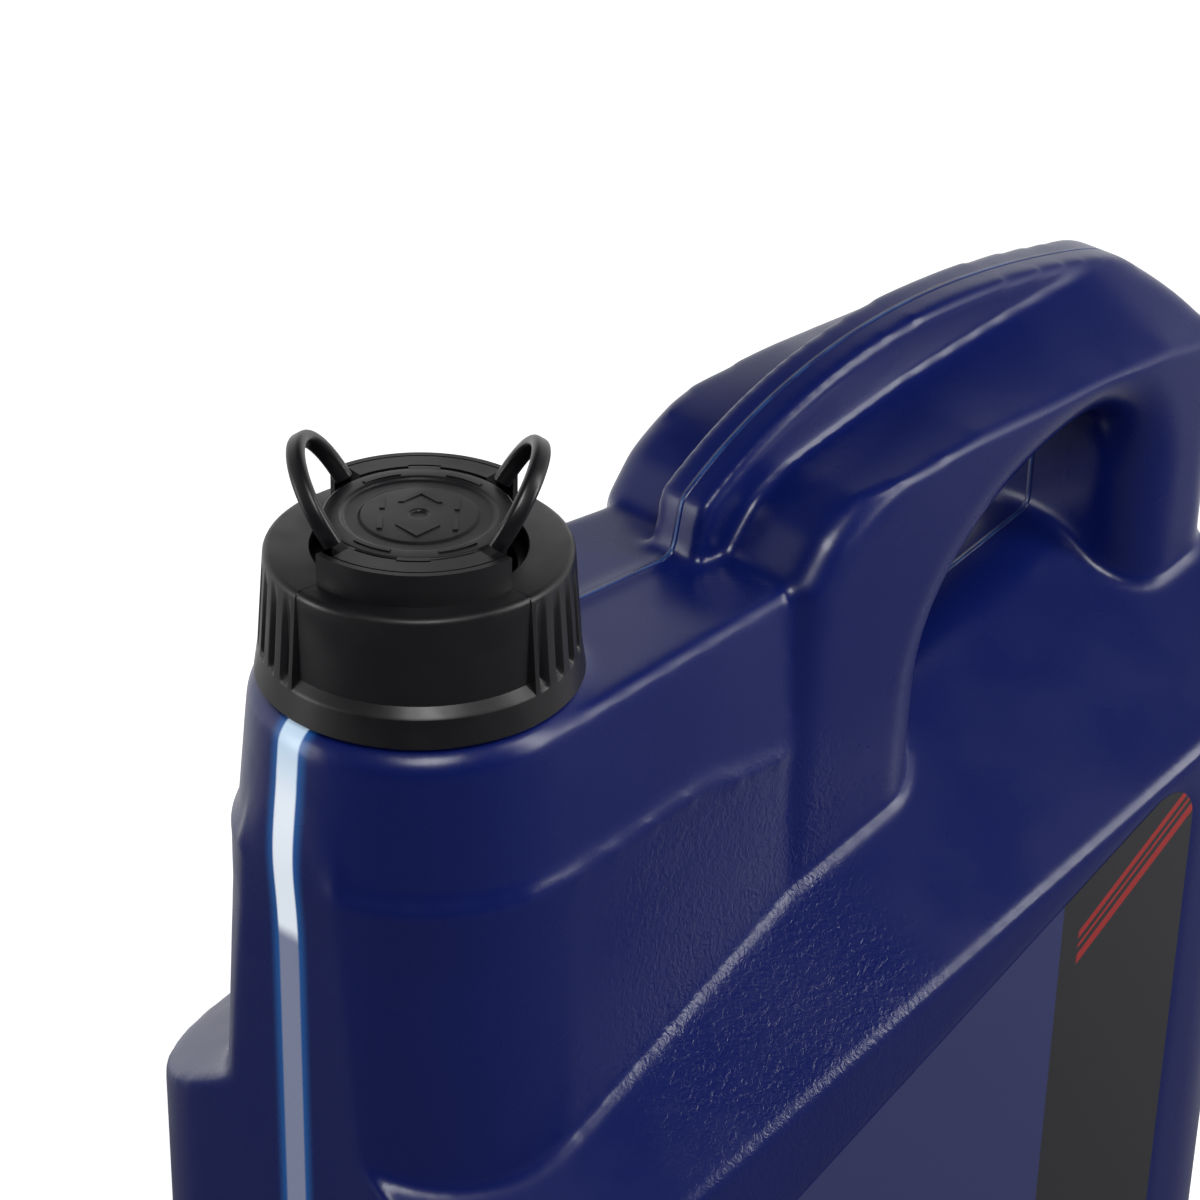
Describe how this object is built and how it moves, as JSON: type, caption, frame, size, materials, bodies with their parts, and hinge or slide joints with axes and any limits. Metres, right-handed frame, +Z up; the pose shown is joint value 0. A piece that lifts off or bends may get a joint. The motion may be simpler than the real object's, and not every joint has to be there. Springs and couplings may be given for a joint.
{
  "type": "motor oil bottle",
  "caption": "Five litre motor oil bottle: navy blow-moulded canister with a through-handle, view stripe, side labels, and a black screw collar with a pull-out spout.",
  "frame": {"origin": "centre of the footprint, on the plane of the base's standing rim", "axes": "+Z up along the neck; +X from the neck end towards the far end of the handle; -Y towards the front label"},
  "size_m": [0.25, 0.124, 0.2894],
  "materials": {
    "hdpe_navy": "satin",
    "oil": "clear",
    "label_print": "satin",
    "pp_black": "satin",
    "spout_pe": "satin",
    "gasket_foam": "matte"
  },
  "bodies": {
    "bottle": {"bottle_body": "hdpe_navy", "oil_fill": "oil", "front_label": "label_print", "back_label": "label_print"},
    "spout_group": {"pull_out_spout": "spout_pe", "sealing_gasket": "gasket_foam"},
    "collar": {"screw_collar": "pp_black"},
    "cap": {"spout_cap": "pp_black"},
    "ring_left": {"pull_ring_left": "pp_black"},
    "ring_right": {"pull_ring_right": "pp_black"}
  },
  "joints": [
    {"name": "collar_lift", "type": "slide", "parent": "bottle", "child": "spout_group", "axis": [0, 0, 1], "range_m": [0, 0.029]},
    {"name": "collar_unscrew", "type": "hinge", "parent": "spout_group", "child": "collar", "pos_m": [-0.0905, 0, 0.241], "axis": [0, 0, 1], "range_deg": [0, 1620]},
    {"name": "spout_pull", "type": "slide", "parent": "collar", "child": "cap", "axis": [0, 0, 1], "range_m": [0, 0.045], "deforming": ["pull_out_spout"]},
    {"name": "ring_left_fold", "type": "hinge", "parent": "cap", "child": "ring_left", "pos_m": [-0.10146, 0.01096, 0.2746], "axis": [0.7071, 0.7071, 0], "range_deg": [-45, 85]},
    {"name": "ring_right_fold", "type": "hinge", "parent": "cap", "child": "ring_right", "pos_m": [-0.07954, -0.01096, 0.2746], "axis": [0.7071, 0.7071, 0], "range_deg": [-85, 45]}
  ],
  "couplings": [
    {"joint": "collar_unscrew", "follows": "collar_lift", "rad_per_m": 966.64}
  ]
}
